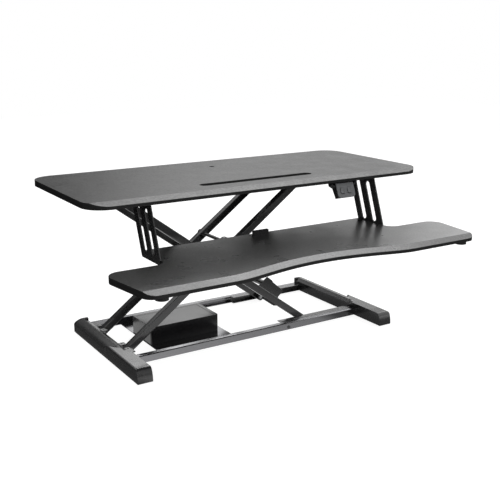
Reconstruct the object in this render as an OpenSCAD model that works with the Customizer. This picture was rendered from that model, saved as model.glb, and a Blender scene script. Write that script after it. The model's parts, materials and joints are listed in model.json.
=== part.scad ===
// Standing desk converter: a desktop and a keyboard tray on a scissor lift.
// Millimetres, +Z up, +Y to the back. The origin is under the middle of the
// whole object's box; inside the modules Y = 0 is the middle of the feet.

/* [Boards] */
// Width of the desktop and of the keyboard tray
desk_w = 950; // [900:10:1000]
// Height of the desktop's top face above the table
desk_h = 430; // [330:5:470]
// Thickness of both boards
board_t = 15; // [12:1:16]
// Front edge of the desktop, from the middle of the feet
desk_front = -198.4; // [-210:0.1:-190]
// Back edge of the desktop, from the middle of the feet
desk_back = 209; // [204:1:220]
// Radius of the desktop's corners
desk_corner_r = 55; // [45:1:80]
// Width of the bevel along the front edges
bevel_w = 24; // [18:1:26]
// Drop of the bevel along the front edges
bevel_drop = 7.4; // [5:0.1:9]
// Radius of the cable hole in the desktop
cable_hole_r = 7.25; // [6:0.25:10]

/* [Tray] */
// Height of the tray's top face below the desktop's top face
tray_drop = 136.5; // [126:0.5:146]
// Front edge of the tray's flats, from the middle of the feet
tray_front = -425.4; // [-435:0.1:-415]
// Depth of the hollow in the tray's front edge
tray_hollow = 38.5; // [20:0.5:45]
// Back edge of the tray's middle part
tray_back = -121.5; // [-125:0.5:-115]
// Back edge of the tray's side wings
wing_back = -251; // [-256:1:-246]

/* [Scissor] */
// Length of each scissor arm between its end pivots
arm_l = 642.6; // [620:0.1:660]
// Height of an arm's channel section
arm_h = 19.3; // [17:0.1:21]
// Depth of an arm's channel section
arm_d = 17.3; // [14:0.1:18]
// Sheet thickness of an arm
arm_wall = 1.8; // [1.5:0.1:2.5]
// Radius of the pivot pins
pin_r = 4; // [3:0.5:4.5]
// Running clearance between a pin and its bush
fit = 0.05; // [0.02:0.01:0.1]
// Height of the lower pivots above the table
pivot_z = 12.5; // [12:0.1:13]
// Distance of the fixed pivots from the middle, to the left
pivot_x = 331.7; // [331:0.1:333]

/* [Base] */
// Distance from the middle to a foot's inner side
foot_in = 343; // [342:1:345]
// Width of a foot
foot_w = 39; // [36:1:42]
// Length of a foot
foot_l = 408; // [400:1:410]
// Height of a foot
foot_h = 36; // [34:0.5:38]

/* [Control box] */
// Left side of the control box
box_x = -253; // [-256:1:-245]
// Width, depth and height of the control box
box_size = [199, 112, 48];

/* [Hidden] */
$fn = 48;
eps = 0.01;

// the origin lies under the middle of the box, from the tray's front to the desktop's back
feet_y = -(tray_front + desk_back) / 2;

// heights
desk_under = desk_h - board_t;
upper_pivot_z = desk_h - 35.5;
tray_top = desk_h - tray_drop;
tray_under = tray_top - board_t;

// scissor
theta = asin((upper_pivot_z - pivot_z) / arm_l);
centre_x = -pivot_x + arm_l / 2 * cos(theta);
centre_z = (pivot_z + upper_pivot_z) / 2;
slide_x = -pivot_x + arm_l * cos(theta);
scissor_y = 55;
// outer faces of the two pairs of arms, from the scissor's middle plane
a_out = 87.5;
b_out = 115.5;
arm_r = arm_h / 2;
bush_r = pin_r + 2;
boss_r = arm_r - 1.5;
play = 0.4;
// shaft that ties the inner arms together, at a distance from the middle pivot
shaft_s = 66;
shaft_r = 4.75;
shaft_head_r = 9;
shaft_head_t = 6;
collar_r = 14;
collar_y = [-46, -34];
// holes of the arms: [distance from the middle pivot, radius]
a_holes = [[-arm_l / 2, bush_r], [0, pin_r], [shaft_s, shaft_r], [arm_l / 2, bush_r]];
b_holes = [[-arm_l / 2, bush_r], [0, bush_r], [arm_l / 2, pin_r]];
// gussets on the outer arms, and the tube welded between them
gusset_in = 6;
gusset_t = 3;
gusset_outline = [
    [136, arm_r], [138, 12], [147, 41.7], [168, 40.5], [171, 38], [217, 34], [212, 12], [216, arm_r]
];
tube_at = [177, 25];
cross_tube_r = 8;
cross_tube_t = 1.5;
spacer_r = pin_r + 4;
clip_s = [172, 224];
clip_y = [-112, -101];
clip_h = 5;
clip_wall = [2, 1.5];

// rails and tracks, from the scissor's middle plane
rail_out = 148.5;
rail_in = 133;
rail_t = 1.5;
rail_screw_x = [116, 326];
rail_screw_z = 9;
rail_screw_r = 2;
rail_head_r = 4.4;
rail_head_t = 1.6;
rail_z = [1, 21];
track_in = 116;
track_t = 2;
track_x = [100, foot_in];
roller_r = 6.5;
roller_gap = 0.5;
track_half = roller_r + roller_gap;
upper_track_out = 104;
upper_track_in = 88.5;
upper_track_x = [105, 325];
base_plate_x = [-255, -35];
base_plate_t = 1.5;
base_plate_top = rail_z[0] + rail_t + base_plate_t;
box_front = -4;
box_r = 3;
box_wall = 1.6;
box_mid = [box_x + box_size[0] / 2, box_front + box_size[1] / 2];
// joint line in the lid: [from, to] in from the box's back and right faces, where it ends, and its depth
lid_joint = [11, 12];
lid_joint_end = 6;
lid_joint_depth = 0.8;
box_right = box_x + box_size[0];
box_back = box_front + box_size[1];
box_top = base_plate_top + box_size[2];
inlet_x = -95;
inlet_z = 26;
inlet_size = [27, 20];
inlet_depth = 18;
socket_depth = 14;
// board in the box, from the box's front left corner: outline, post height, then each part's place and height
pcb_x = [12, 183];
pcb_y = [10, 88];
pcb_t = 1.6;
post_r = 3;
post_h = 6;
post_in = 6;
transformer = [[30, 72], [25, 65], 32];
heat_sink = [[140, 165], [25, 60], 18];
capacitor_x = [95, 120];
capacitor_y = 40;
capacitor_r = 9;
capacitor_h = 28;

// brackets of the fixed pivots, under the base's left end and under the desktop
bracket_y = [-123, -51];
bracket_top = 26;
bracket_front_x = -325;
ear_t = 2.5;
ear_r = 8.4;
upper_ear_r = 9;
pin_head_r = pin_r + 2.8;
pin_head_t = 2.4;
ear_out = a_out + 2.5 + ear_t;
ear_in = a_out - arm_d - 2.5 - ear_t;
upper_ear_out = b_out + 1 + ear_t;
upper_ear_in = b_out - arm_d - 1 - ear_t;

// foot
foot_bottom = 1.5;
foot_back = foot_l / 2 - 9;
foot_front = -foot_l / 2;
foot_out = foot_in + foot_w;
foot_edge_r = 5;
foot_nose = [13, foot_h - foot_bottom];
dome_z = 22.5;
dome_power = 1.7;
// the domed part starts at dome_front; the flat part ends on a slant between two y, inner and outer
dome_front = -84;
flat_back = [-82, -15];
foot_wall = 3;
pad_y = [-170, 160];
pad_half = 15;
pad_h = 8;

// tray
tray_mid = 322;
tray_fillet = 29;
tray_rear_r = 34;
tray_front_r = 28;
tray_side_in = 24;
tray_bevel_w = 20.5;
tray_bevel_drop = 7;
hollow_x = 248;
sheet_t = 3;
flange_t = 2.5;
lean = 0.362;
lean_z = desk_h - 30;
bracket_bottom = tray_under + 2.8;
// side bracket: the y of its edges at the desktop, and of its corners at the tray
bracket_rear_y = [-81.5, -126];
bracket_front_y = [-182.5, -222.5, -210];
bracket_toe = 10.2;
window_y = [-112.2, -152];
window_r = 7.7;
window_z = [tray_top + 11, lean_z - 8];
top_flange_in = 20;
top_flange_y = [-176, -77];
low_flange_in = 24;
low_flange_y = [-222, -136];
tray_screw_x = 305;
tray_screw_y = [-214, -150];
tray_screw_r = 2.5;
tray_cap_r = 6;
tray_cap_t = 1.2;
cap_gap = 0.1;
tray_half = desk_w / 2;
// front corner, where the tapered side meets the front
corner_x = tray_half - tray_side_in;
side_angle = atan2(tray_side_in, wing_back - tray_front - tray_rear_r - tray_front_r / 2);
bumper_at = [414, -410];
bumper_r = 14;
bumper_h = 7;
// keyboard stop, a tab let through the tray near its back edge
stop_x = [-28, 18];
stop_y = [tray_back - 18, tray_back - 12];
stop_h = 12;
stop_r = 3;

// actuator, hung under the desktop on the scissor's middle plane
tube_r = 14;
tube_x = [-120, 100];
gearbox_x = [-178, -120];
gearbox_half = 22;
motor_r = 17;
motor_x = -255;
motor_z = upper_pivot_z - 3;
motor_hub = [6, 3];
gearbox_top = upper_pivot_z + 16;
rod_r = 5;
rod_l = 211;
slide_half = 9;
clamp_x = [72, 88];

// switch, on the right under the desktop's front edge
switch_x = 212;
switch_tilt = 22.4;
switch_top = [-194, desk_under - 3];
housing_depth = 18;
housing_wall = 2;
// half widths of the housing and the heights where it steps, from the panel's top
housing_half = [38, 28.5, 25];
housing_z = [30, -2, -9, -36];
housing_y = [-230, -130];
driver_h = 60;
panel_half = 27.5;
panel_h = 38;
panel_t = 3;
panel_r = 9;
button_dx = 11;
button_z = -19.5;
button_w = 13;
button_h = 15;
button_r = 3.5;
button_gap = 0.4;
button_out = 1.8;

// groove for a tablet and hole for cables
groove_half = 149.5;
groove_y = -115;
groove_r = 13.5;
groove_depth = 10;
cable_hole_y = 115;

// screws that hold the metal parts to the desktop: [x, y]
screw_r = 2;
screw_head_r = 4;
screw_head_h = 2;
screw_depth = 11;
bracket_screws = [
    for (side = [-1, 1], dx = [-14, 14]) [-pivot_x + dx, scissor_y + side * 125]
];
track_screws = [
    for (side = [-1, 1], x = [115, 215, 315]) [x, scissor_y + side * 112]
];
tray_bracket_screws = [
    for (side = [-1, 1], y = [-165, -127, -90]) [side * (tray_mid - 11), y]
];
mount_screws = [
    for (side = [-1, 1], x = [-165, -133]) [x, scissor_y + side * 34]
];
clamp_screws = [for (side = [-1, 1]) [80, scissor_y + side * 24]];
switch_screws = [for (side = [-1, 1]) [switch_x + side * 20, -183]];

board_colour = [0.10, 0.10, 0.10];
steel_colour = [0.07, 0.07, 0.07];
plastic_colour = [0.04, 0.04, 0.04];
rubber_colour = [0.03, 0.03, 0.03];
bare_colour = [0.55, 0.56, 0.57];
grey_colour = [0.42, 0.43, 0.44];

// ---------- shared shapes ----------

module prism_y(y0, y1) {
    translate([0, y1, 0]) rotate([90, 0, 0]) linear_extrude(y1 - y0) children();
}

module prism_x(x0, x1) {
    translate([x0, 0, 0]) rotate([90, 0, 90]) linear_extrude(x1 - x0) children();
}

module block(x, y, z) {
    translate([x[0], y[0], z[0]]) cube([x[1] - x[0], y[1] - y[0], z[1] - z[0]]);
}

module rod_y(x, z, r, y0, y1) {
    translate([x, y0, z]) rotate([-90, 0, 0]) cylinder(r = r, h = y1 - y0);
}

module rod_x(y, z, r, x0, x1) {
    translate([x0, y, z]) rotate([0, 90, 0]) cylinder(r = r, h = x1 - x0);
}

module ring_y(x, z, r_out, r_in, y0, y1) {
    difference() {
        rod_y(x, z, r_out, y0, y1);
        rod_y(x, z, r_in, y0 - 1, y1 + 1);
    }
}

module rounded_rect(w, h, r) {
    square([w - 2 * r, h], center = true);
    square([w, h - 2 * r], center = true);
    for (x = [-1, 1], y = [-1, 1])
        translate([x * (w / 2 - r), y * (h / 2 - r)]) circle(r);
}

// a bar with round ends between two points of a plane
module stadium(a, b, r) {
    translate(a) rotate(atan2(b[1] - a[1], b[0] - a[0])) {
        translate([0, -r]) square([norm(b - a), 2 * r]);
        circle(r);
        translate([norm(b - a), 0]) circle(r);
    }
}

// the front (-1) or rear (1) copy of a shape drawn for the front
module at_side(side) {
    translate([0, scissor_y, 0]) mirror([0, side > 0 ? 1 : 0, 0]) children();
}

// from a frame along an arm, with its middle pivot at the origin, to the object
module on_arm(angle) {
    translate([centre_x, 0, centre_z]) rotate([0, -angle, 0]) children();
}

module on_switch() {
    translate([switch_x, switch_top[0], switch_top[1]]) rotate([-switch_tilt, 0, 0]) children();
}

module stand() {
    translate([0, feet_y, 0]) children();
}

// ---------- feet ----------

function dome_point(a) = [
    foot_in + 13 + (foot_w - 13) * pow(cos(a), 2 / dome_power),
    dome_z + (foot_h - dome_z) * pow(sin(a), 2 / dome_power)
];

module dome_profile() {
    polygon(concat(
        [[foot_in, foot_bottom], [foot_out, foot_bottom]],
        [for (a = [0:10:90]) dome_point(a)],
        [[foot_in, foot_h - 7]]
    ));
}

module flat_profile() {
    translate([foot_in, foot_bottom]) square([foot_w, foot_h - foot_bottom - foot_edge_r]);
    translate([foot_in, foot_bottom]) square([foot_w - foot_edge_r, foot_h - foot_bottom]);
    translate([foot_out - foot_edge_r, foot_h - foot_edge_r]) circle(foot_edge_r);
}

module nose_profile() {
    polygon(concat(
        [[0, foot_h], [0, foot_bottom]],
        [for (a = [0:9:90]) [
            foot_front + foot_nose[0] * (1 - cos(a)),
            foot_bottom + foot_nose[1] * sin(a)
        ]]
    ));
}

module foot_cavity() {
    prism_y(foot_front + foot_nose[0] + foot_wall, foot_back - foot_wall) polygon([
        [foot_in + foot_wall, -1], [foot_out - foot_wall, -1], [foot_out - foot_wall, 20],
        [foot_out - 11, 27.5], [foot_in + 14, 32], [foot_in + foot_wall, 26]
    ]);
}

module foot() {
    difference() {
        union() {
            prism_y(dome_front, foot_back) dome_profile();
            intersection() {
                linear_extrude(foot_h) polygon([
                    [foot_in, foot_front], [foot_out, foot_front],
                    [foot_out, flat_back[1]], [foot_in, flat_back[0]]
                ]);
                prism_y(foot_front, 0) flat_profile();
                prism_x(foot_in, foot_out) nose_profile();
            }
        }
        foot_cavity();
    }
}

module left_foot() {
    color(steel_colour) mirror([1, 0, 0]) foot();
}

module right_foot() {
    color(steel_colour) foot();
}

module end_cap() {
    prism_y(foot_back, foot_l / 2) dome_profile();
    block([foot_in, foot_in + 6], [foot_back, foot_l / 2], [foot_bottom, foot_h]);
}

module left_end_cap() {
    color(plastic_colour) mirror([1, 0, 0]) end_cap();
}

module right_end_cap() {
    color(plastic_colour) end_cap();
}

module foot_pads() {
    color(rubber_colour)
        for (side = [0, 1], y = pad_y)
            mirror([side, 0, 0])
                block([foot_in + foot_wall, foot_out - foot_wall], [y - pad_half, y + pad_half], [0, pad_h]);
}

// ---------- rails and tracks ----------

module rail() {
    color(steel_colour) difference() {
        block([-foot_in, foot_in], [-rail_out, -rail_in], rail_z);
        block([-foot_in - 1, foot_in + 1], [-rail_out + rail_t, -rail_in + 1],
              [rail_z[0] + rail_t, rail_z[1] - rail_t]);
        rail_screw_shanks();
    }
}

module rail_screw_shanks() {
    for (x = rail_screw_x) rod_y(x, rail_screw_z, rail_screw_r, -rail_out, -rail_in + track_t);
}

module front_rail() at_side(-1) rail();
module rear_rail() at_side(1) rail();

module track() {
    color(steel_colour) difference() {
        block(track_x, [-rail_in, -track_in],
              [pivot_z - track_half - track_t, pivot_z + track_half + track_t]);
        block([track_x[0] - 1, track_x[1] + 1], [-rail_in + track_t, -track_in + 1],
              [pivot_z - track_half, pivot_z + track_half]);
        rail_screw_shanks();
    }
}

module front_track() at_side(-1) track();
module rear_track() at_side(1) track();

module rail_screws() {
    color(bare_colour)
        for (side = [-1, 1]) at_side(side) {
            rail_screw_shanks();
            for (x = rail_screw_x)
                rod_y(x, rail_screw_z, rail_head_r, -rail_out - rail_head_t, -rail_out);
        }
}

// ---------- hinge brackets ----------

module hinge_ear(y0) {
    prism_y(y0, y0 + ear_t) {
        translate([-pivot_x, pivot_z]) circle(ear_r);
        translate([-foot_in, pivot_z - ear_r]) square([foot_in - pivot_x, bracket_top - pivot_z + ear_r]);
        translate([-pivot_x, pivot_z]) square([bracket_front_x + pivot_x, bracket_top - pivot_z]);
    }
}

module hinge_bracket() {
    color(steel_colour) difference() {
        union() {
            block([-foot_in, bracket_front_x], bracket_y, [bracket_top - ear_t, bracket_top]);
            block([-foot_in, -foot_in + 1.5], bracket_y, [2, bracket_top]);
            hinge_ear(-ear_out);
            hinge_ear(-ear_in - ear_t);
        }
        // window for the arm's end
        block([-foot_in - 1, bracket_front_x + 10], [-ear_out + ear_t, -ear_in - ear_t], [0, bracket_top + 1]);
        // relief holes at the window's corners
        for (y = [-ear_out - 6, -ear_in + 6])
            translate([bracket_front_x - 9, y, 0]) cylinder(r = 2.4, h = bracket_top + 1);
        rod_y(-pivot_x, pivot_z, pin_r, bracket_y[0], bracket_y[1]);
    }
}

module front_hinge_bracket() at_side(-1) hinge_bracket();
module rear_hinge_bracket() at_side(1) hinge_bracket();

// a pin with a head at its outer end and a retaining ring at its inner end
module headed_pin(x, z, outer, inner) {
    rod_y(x, z, pin_r, -outer, -inner);
    rod_y(x, z, pin_head_r, -outer - pin_head_t, -outer);
}

module hinge_pins() {
    color(bare_colour)
        for (side = [-1, 1]) at_side(side) headed_pin(-pivot_x, pivot_z, ear_out, ear_in);
}

// ---------- control box ----------

module base_plate() {
    color(plastic_colour)
        block(base_plate_x, [scissor_y - rail_out + rail_t, scissor_y + rail_out - rail_t],
              [base_plate_top - base_plate_t, base_plate_top]);
}

module control_box() {
    color(plastic_colour) difference() {
        translate([box_mid[0], box_mid[1], base_plate_top]) difference() {
            linear_extrude(box_size[2]) rounded_rect(box_size[0], box_size[1], box_r);
            translate([0, 0, -1]) linear_extrude(box_size[2] - box_wall + 1)
                rounded_rect(box_size[0] - 2 * box_wall, box_size[1] - 2 * box_wall, box_r - box_wall);
        }
        // shallow joint line along the back and right of the lid
        block([box_x + lid_joint_end, box_right - lid_joint[0]],
              [box_back - lid_joint[1], box_back - lid_joint[0]],
              [box_top - lid_joint_depth, box_top + 1]);
        block([box_right - lid_joint[1], box_right - lid_joint[0]],
              [box_front + lid_joint_end, box_back - lid_joint[0]],
              [box_top - lid_joint_depth, box_top + 1]);
        inlet_shape(box_back - box_wall - 1, box_back + 1, 0);
    }
}

module inlet_shape(y0, y1, inset) {
    prism_y(y0, y1) translate([inlet_x, inlet_z])
        rounded_rect(inlet_size[0] - 2 * inset, inlet_size[1] - 2 * inset, 3);
}

module power_inlet() {
    color(plastic_colour) {
        difference() {
            inlet_shape(box_back - inlet_depth, box_back + 1.5, 0);
            inlet_shape(box_back - socket_depth, box_back + 2, 2);
        }
        // the socket's three pins
        for (dx = [-6, 0, 6])
            block([inlet_x + dx - 1, inlet_x + dx + 1], [box_back - socket_depth, box_back - 5],
                  [inlet_z - 2, inlet_z + 2]);
    }
}

// a block on the board, given from the box's front left corner
module board_block(part) {
    block([part[0][0], part[0][1]], [part[1][0], part[1][1]], [pcb_t, part[2]]);
}

module control_board() {
    color("darkgreen") translate([box_x, box_front, base_plate_top + post_h]) {
        block(pcb_x, pcb_y, [0, pcb_t]);
        for (x = [pcb_x[0] + post_in, pcb_x[1] - post_in], y = [pcb_y[0] + post_in, pcb_y[1] - post_in])
            translate([x, y, -post_h]) cylinder(r = post_r, h = post_h);
        board_block(transformer);
        board_block(heat_sink);
        for (x = capacitor_x)
            translate([x, capacitor_y, pcb_t]) cylinder(r = capacitor_r, h = capacitor_h);
    }
}

// ---------- scissor arms ----------

// a pressed channel, drawn along x with its web at the outer face -out;
// holes are [distance from the middle pivot, radius]
module channel_arm(out, holes) {
    half = arm_l / 2;
    color(steel_colour) difference() {
        union() {
            difference() {
                prism_y(-out, -out + arm_d) stadium([-half, 0], [half, 0], arm_r);
                prism_y(-out + arm_wall, -out + arm_d + 1)
                    stadium([-half, 0], [half, 0], arm_r - arm_wall);
            }
            for (hole = holes) rod_y(hole[0], 0, boss_r, -out + arm_wall / 2, -out + arm_d);
        }
        for (hole = holes) rod_y(hole[0], 0, hole[1], -out - 1, -out + arm_d + 1);
    }
}

module arm_a() on_arm(theta) channel_arm(a_out, a_holes);
module arm_b() on_arm(-theta) channel_arm(b_out, b_holes);
module front_arm_a() at_side(-1) arm_a();
module rear_arm_a() at_side(1) arm_a();
module front_arm_b() at_side(-1) arm_b();
module rear_arm_b() at_side(1) arm_b();

module bush(s, out) {
    ring_y(s, 0, bush_r, pin_r + fit, -out, -out + arm_d);
}

module arm_a_bushes() {
    color(grey_colour)
        for (side = [-1, 1]) at_side(side) on_arm(theta)
            for (s = [-arm_l / 2, arm_l / 2]) bush(s, a_out);
}

module arm_b_bushes() {
    color(grey_colour)
        for (side = [-1, 1]) at_side(side) on_arm(-theta)
            for (s = [-arm_l / 2, 0]) bush(s, b_out);
}

module centre_pins() {
    color(bare_colour)
        for (side = [-1, 1]) at_side(side) on_arm(theta)
            headed_pin(0, 0, b_out + play, a_out - arm_d);
}

module centre_spacers() {
    color(grey_colour)
        for (side = [-1, 1]) at_side(side) on_arm(theta)
            ring_y(0, 0, spacer_r, pin_r, -(b_out - arm_d) + play, -a_out);
}

module tie_shaft() {
    color(steel_colour) at_side(-1) on_arm(theta) {
        rod_y(shaft_s, 0, shaft_r, -a_out, a_out);
        rod_y(shaft_s, 0, shaft_head_r, -a_out - shaft_head_t, -a_out);
        rod_y(shaft_s, 0, shaft_head_r, a_out, a_out + shaft_head_t);
    }
}

module shaft_collar() {
    color(steel_colour) at_side(-1) on_arm(theta)
        ring_y(shaft_s, 0, collar_r, shaft_r, collar_y[0], collar_y[1]);
}

module gusset() {
    color(steel_colour) on_arm(-theta) prism_y(-b_out + gusset_in - gusset_t, -b_out + gusset_in)
        polygon(gusset_outline);
}

module front_gusset() at_side(-1) gusset();
module rear_gusset() at_side(1) gusset();

module cross_tube() {
    half = b_out - gusset_in;
    color(steel_colour) at_side(-1) on_arm(-theta)
        ring_y(tube_at[0], tube_at[1], cross_tube_r, cross_tube_r - cross_tube_t, -half, half);
}

module roller_axles() {
    color(bare_colour)
        for (side = [-1, 1]) at_side(side) on_arm(-theta)
            rod_y(arm_l / 2, 0, pin_r, -rail_in + track_t + play, -b_out + arm_d);
}

module cable_clip() {
    color(plastic_colour) at_side(-1) on_arm(-theta) difference() {
        prism_y(clip_y[0], clip_y[1]) polygon([
            [clip_s[0], -arm_r], [clip_s[0] + clip_h, -arm_r - clip_h],
            [clip_s[1] - 2 * clip_h, -arm_r - clip_h], [clip_s[1], -arm_r]
        ]);
        block([clip_s[0] - 1, clip_s[1] + 1], [clip_y[0] + clip_wall[0], clip_y[1] - clip_wall[0]],
              [-arm_r - clip_h + clip_wall[1], -arm_r + 1]);
    }
}

// ---------- rollers ----------

module lower_roller() {
    color(plastic_colour)
        ring_y(slide_x, pivot_z, roller_r, pin_r + fit, -rail_in + track_t + 1, -b_out - 0.8);
}

module front_lower_roller() at_side(-1) lower_roller();
module rear_lower_roller() at_side(1) lower_roller();

module upper_roller() {
    color(plastic_colour)
        ring_y(slide_x, upper_pivot_z, roller_r, pin_r + fit, -upper_track_out + track_t + 1, -a_out - 1);
}

module front_upper_roller() at_side(-1) upper_roller();
module rear_upper_roller() at_side(1) upper_roller();

// ---------- slide bar and actuator ----------

module slide_bar() {
    half = a_out - arm_d - 1;
    color(steel_colour) at_side(-1) difference() {
        block([slide_x - slide_half, slide_x + slide_half], [-half, half],
              [upper_pivot_z - slide_half, upper_pivot_z + slide_half]);
        rod_y(slide_x, upper_pivot_z, pin_r, -half - 1, half + 1);
    }
}

module slide_axle() {
    half = upper_track_out - track_t - play;
    color(bare_colour) at_side(-1) rod_y(slide_x, upper_pivot_z, pin_r, -half, half);
}

module actuator_rod() {
    color(bare_colour)
        rod_x(scissor_y, upper_pivot_z, rod_r, slide_x - slide_half - rod_l, slide_x - slide_half);
}

module actuator_tube() {
    color(bare_colour) difference() {
        rod_x(scissor_y, upper_pivot_z, tube_r, tube_x[0], tube_x[1]);
        rod_x(scissor_y, upper_pivot_z, rod_r + 0.5, tube_x[0] + 2, tube_x[1] + 1);
    }
}

module actuator_gearbox() {
    color(plastic_colour)
        block(gearbox_x, [scissor_y - gearbox_half, scissor_y + gearbox_half],
              [upper_pivot_z - gearbox_half, gearbox_top]);
}

module actuator_motor() {
    color(plastic_colour) {
        rod_x(scissor_y, motor_z, motor_r, motor_x, gearbox_x[0]);
        rod_x(scissor_y, motor_z, motor_hub[0], motor_x - motor_hub[1], motor_x);
    }
}

module actuator_mount() {
    color(steel_colour) difference() {
        union() {
            for (side = [-1, 1]) translate([0, scissor_y, 0]) mirror([0, side > 0 ? 1 : 0, 0]) {
                block([gearbox_x[0] + 4, gearbox_x[1] - 4], [-gearbox_half - 20, -gearbox_half],
                      [desk_under - flange_t, desk_under]);
                block([gearbox_x[0] + 4, gearbox_x[1] - 4], [-gearbox_half - flange_t, -gearbox_half],
                      [upper_pivot_z - 10, desk_under]);
            }
            // saddle clamp near the tube's mouth
            block(clamp_x, [scissor_y - tube_r - 18, scissor_y + tube_r + 18],
                  [desk_under - flange_t, desk_under]);
            block(clamp_x, [scissor_y - tube_r - 3, scissor_y + tube_r + 3], [upper_pivot_z - 2, desk_under]);
        }
        rod_x(scissor_y, upper_pivot_z, tube_r, 60, 100);
        screw_shanks(concat(mount_screws, clamp_screws));
    }
}

// ---------- desktop ----------

module screw_shanks(places) {
    for (at = places)
        translate([at[0], at[1], desk_under - flange_t]) cylinder(r = screw_r, h = flange_t + screw_depth);
}

module board_outline() {
    translate([0, (desk_front + desk_back) / 2])
        rounded_rect(desk_w, desk_back - desk_front, desk_corner_r);
}

module desktop() {
    color(board_colour) difference() {
        translate([0, 0, desk_under]) linear_extrude(board_t) board_outline();
        // bevel along the front edge
        prism_x(-desk_w, desk_w) polygon([
            [desk_front - 1, desk_h - bevel_drop * (bevel_w + 1) / bevel_w],
            [desk_front + bevel_w, desk_h],
            [desk_front + bevel_w, desk_h + 1],
            [desk_front - 1, desk_h + 1]
        ]);
        // groove that holds a tablet or a phone
        translate([0, 0, desk_h - groove_depth]) linear_extrude(groove_depth + 1)
            stadium([-groove_half, groove_y], [groove_half, groove_y], groove_r);
        // cable hole
        translate([0, cable_hole_y, desk_under - 1]) cylinder(r = cable_hole_r, h = board_t + 2);
        all_desk_shanks();
    }
}

module all_desk_shanks() {
    screw_shanks(concat(bracket_screws, track_screws, tray_bracket_screws, mount_screws,
                        clamp_screws, switch_screws));
}

module desk_screws() {
    color(bare_colour)
        for (at = concat(bracket_screws, track_screws, tray_bracket_screws, mount_screws,
                         clamp_screws, switch_screws)) {
            screw_shanks([at]);
            translate([at[0], at[1], desk_under - flange_t - screw_head_h])
                cylinder(r = screw_head_r, h = screw_head_h);
        }
}

module upper_ear(y0) {
    prism_y(y0, y0 + ear_t) {
        translate([-pivot_x, upper_pivot_z]) circle(upper_ear_r);
        translate([-pivot_x - upper_ear_r, upper_pivot_z])
            square([2 * upper_ear_r, desk_under - upper_pivot_z]);
    }
}

module upper_bracket() {
    color(steel_colour) difference() {
        union() {
            block([-pivot_x - 20, -pivot_x + 20], [-131, -upper_ear_in], [desk_under - flange_t, desk_under]);
            upper_ear(-upper_ear_out);
            upper_ear(-upper_ear_in - ear_t);
        }
        rod_y(-pivot_x, upper_pivot_z, pin_r, -upper_ear_out - 1, -upper_ear_in + 1);
        translate([0, -scissor_y, 0]) screw_shanks([bracket_screws[0], bracket_screws[1]]);
    }
}

module front_upper_bracket() at_side(-1) upper_bracket();
module rear_upper_bracket() at_side(1) upper_bracket();

module upper_pins() {
    color(bare_colour)
        for (side = [-1, 1]) at_side(side) headed_pin(-pivot_x, upper_pivot_z, upper_ear_out, upper_ear_in);
}

module upper_track() {
    low = upper_pivot_z - track_half;
    high = upper_pivot_z + track_half;
    color(steel_colour) difference() {
        union() {
            block(upper_track_x, [-upper_track_out, -upper_track_out + track_t], [low - track_t, desk_under]);
            block(upper_track_x, [-upper_track_out, -upper_track_in], [low - track_t, low]);
            block(upper_track_x, [-upper_track_out, -upper_track_in], [high, high + track_t]);
            block(upper_track_x, [-upper_track_out - 15, -upper_track_out],
                  [desk_under - flange_t, desk_under]);
        }
        translate([0, -scissor_y, 0]) screw_shanks([track_screws[0], track_screws[1], track_screws[2]]);
    }
}

module front_upper_track() at_side(-1) upper_track();
module rear_upper_track() at_side(1) upper_track();

// ---------- keyboard tray ----------

// how far a leaning edge of the side brackets is in front of its place at lean_z
function leaned(y, z) = y - lean * (lean_z - z);

module tray_bracket() {
    color(steel_colour) difference() {
        union() {
            prism_x(tray_mid, tray_mid + sheet_t) difference() {
                polygon([
                    [leaned(bracket_rear_y[0], desk_under), desk_under],
                    [bracket_rear_y[1], bracket_bottom],
                    [bracket_front_y[2], bracket_bottom],
                    [bracket_front_y[1], bracket_bottom + bracket_toe],
                    [leaned(bracket_front_y[0], desk_under), desk_under]
                ]);
                for (y = window_y)
                    stadium([leaned(y, window_z[1]), window_z[1]],
                            [leaned(y, window_z[0]), window_z[0]], window_r);
            }
            // top flange, screwed under the desktop
            block([tray_mid - top_flange_in, tray_mid], top_flange_y, [desk_under - flange_t, desk_under]);
            // bottom flange, let into the tray's underside
            block([tray_mid - low_flange_in, tray_mid], low_flange_y,
                  [bracket_bottom, bracket_bottom + flange_t]);
        }
        screw_shanks(tray_bracket_screws);
        for (y = tray_screw_y) tray_screw_shank(y);
    }
}

module tray_screw_shank(y) {
    translate([tray_screw_x, y, bracket_bottom])
        cylinder(r = tray_screw_r, h = tray_top - tray_cap_t - bracket_bottom);
}

module left_tray_bracket() mirror([1, 0, 0]) tray_bracket();
module right_tray_bracket() tray_bracket();

// front edge of the tray: flats at the sides and a smooth hollow between them
function front_edge(x) = abs(x) >= hollow_x ? tray_front
    : tray_front + tray_hollow * pow(1 - pow(x / hollow_x, 2), 2) * (1 + 0.55 * pow(x / hollow_x, 2));

function on_circle(c, r, a) = c + r * [cos(a), sin(a)];
function arc(c, r, a0, a1, n) = [for (i = [0:n]) on_circle(c, r, a0 + (a1 - a0) * i / n)];

// right half of the outline, from the front's middle round to the back's middle
tray_right = concat(
    [for (x = [0:16:hollow_x]) [x, front_edge(x)]],
    arc([corner_x - tray_front_r, tray_front + tray_front_r], tray_front_r, -90, -side_angle, 8),
    arc([tray_half - tray_rear_r, wing_back - tray_rear_r], tray_rear_r, -side_angle, 90, 8),
    arc([tray_mid + tray_fillet, wing_back + tray_fillet], tray_fillet, -90, -180, 8),
    [[tray_mid, tray_back]]
);

function mirrored(points) = [for (i = [len(points) - 1:-1:1]) [-points[i][0], points[i][1]]];

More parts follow.
